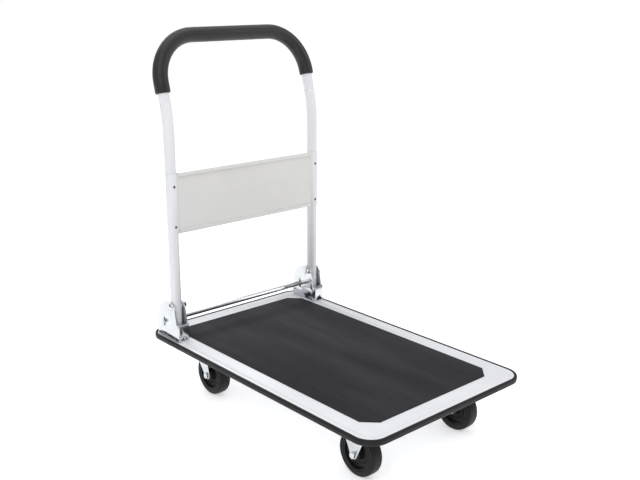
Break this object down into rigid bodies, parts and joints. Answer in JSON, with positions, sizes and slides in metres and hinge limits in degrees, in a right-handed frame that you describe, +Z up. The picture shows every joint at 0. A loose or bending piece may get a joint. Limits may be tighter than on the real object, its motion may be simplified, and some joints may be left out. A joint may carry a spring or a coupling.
{
  "type": "platform truck",
  "caption": "Flatbed platform truck with a folding tube handle and back panel, foot lock bar, rubber edge bumper, anti-slip mat, fixed front casters and swivel rear casters.",
  "frame": {"origin": "on the floor under the centre of the platform and handle as a whole", "axes": "+Z up, +X to the right side, +Y towards the handle's end; the front faces -Y"},
  "size_m": [0.48, 0.772, 0.8655],
  "materials": {
    "white_paint": "satin white powder coat",
    "panel_paint": "satin off-white powder coat",
    "mat_rubber": "fine-textured charcoal anti-slip sheet",
    "bumper_rubber": "smooth matt black rubber",
    "grip_rubber": "soft satin black sleeve",
    "wheel_rubber": "matt black rubber tread",
    "black_plastic": "moulded black plastic",
    "zinc": "bright zinc plate",
    "chrome_bar": "bright chrome plate",
    "dark_rivet": "dark steel",
    "nylon": "natural nylon"
  },
  "bodies": {
    "truck": {"deck_pan": "white_paint", "anti_slip_mat": "mat_rubber", "edge_bumper": "bumper_rubber", "front_channel": "white_paint", "rear_channel": "white_paint", "rib_left": "white_paint", "rib_right": "white_paint", "bracket_base_left": "zinc", "bracket_base_right": "zinc", "hinge_bracket_left": "zinc", "hinge_bracket_right": "zinc", "bracket_bolts": "zinc", "bracket_nuts": "zinc", "pivot_bolts": "zinc", "pivot_nuts": "zinc", "fixed_fork_left": "zinc", "fixed_fork_right": "zinc", "front_axle_bolts": "zinc", "front_axle_nuts": "zinc", "front_axle_bushes": "zinc", "caster_bolts": "zinc", "caster_nuts": "zinc", "swivel_plate_left": "zinc", "swivel_plate_right": "zinc", "race_balls_left": "chrome_bar", "race_balls_right": "chrome_bar", "kingpin_left": "zinc", "kingpin_right": "zinc", "lock_springs": "zinc"},
    "lock": {"lock_bar": "chrome_bar", "lock_dogs": "zinc", "lock_bolts": "zinc"},
    "handle": {"handle_leg_left": "white_paint", "handle_leg_right": "white_paint", "handle_hoop": "white_paint", "handle_grip": "grip_rubber", "back_panel": "panel_paint", "panel_rivets": "dark_rivet", "pivot_bushes": "nylon", "leg_plugs": "black_plastic"},
    "swivel_left": {"swivel_fork_left": "zinc", "rear_axle_bolt_left": "zinc", "rear_axle_nut_left": "zinc", "rear_axle_bush_left": "zinc"},
    "swivel_right": {"swivel_fork_right": "zinc", "rear_axle_bolt_right": "zinc", "rear_axle_nut_right": "zinc", "rear_axle_bush_right": "zinc"},
    "wheel_front_left": {"tyre_front_left": "wheel_rubber", "hub_front_left": "black_plastic"},
    "wheel_front_right": {"tyre_front_right": "wheel_rubber", "hub_front_right": "black_plastic"},
    "wheel_rear_left": {"tyre_rear_left": "wheel_rubber", "hub_rear_left": "black_plastic"},
    "wheel_rear_right": {"tyre_rear_right": "wheel_rubber", "hub_rear_right": "black_plastic"}
  },
  "joints": [
    {"name": "handle_fold", "type": "hinge", "parent": "truck", "child": "handle", "pos_m": [0, 0.2935, 0.2244], "axis": [1, 0, 0], "range_deg": [0, 98]},
    {"name": "lock_press", "type": "slide", "parent": "truck", "child": "lock", "axis": [0, 0, -1], "range_m": [0, 0.008], "stiffness_N_per_m": 4000, "springref_m": -0.003, "deforming": ["lock_springs"]},
    {"name": "swivel_turn_left", "type": "hinge", "parent": "truck", "child": "swivel_left", "pos_m": [-0.15, 0.271, 0.11], "axis": [0, 0, 1], "continuous": true},
    {"name": "swivel_turn_right", "type": "hinge", "parent": "truck", "child": "swivel_right", "pos_m": [0.15, 0.271, 0.11], "axis": [0, 0, 1], "continuous": true},
    {"name": "spin_front_left", "type": "hinge", "parent": "truck", "child": "wheel_front_left", "pos_m": [-0.15, -0.271, 0.05], "axis": [1, 0, 0], "continuous": true},
    {"name": "spin_front_right", "type": "hinge", "parent": "truck", "child": "wheel_front_right", "pos_m": [0.15, -0.271, 0.05], "axis": [1, 0, 0], "continuous": true},
    {"name": "spin_rear_left", "type": "hinge", "parent": "swivel_left", "child": "wheel_rear_left", "pos_m": [-0.15, 0.239, 0.05], "axis": [1, 0, 0], "continuous": true},
    {"name": "spin_rear_right", "type": "hinge", "parent": "swivel_right", "child": "wheel_rear_right", "pos_m": [0.15, 0.239, 0.05], "axis": [1, 0, 0], "continuous": true}
  ]
}
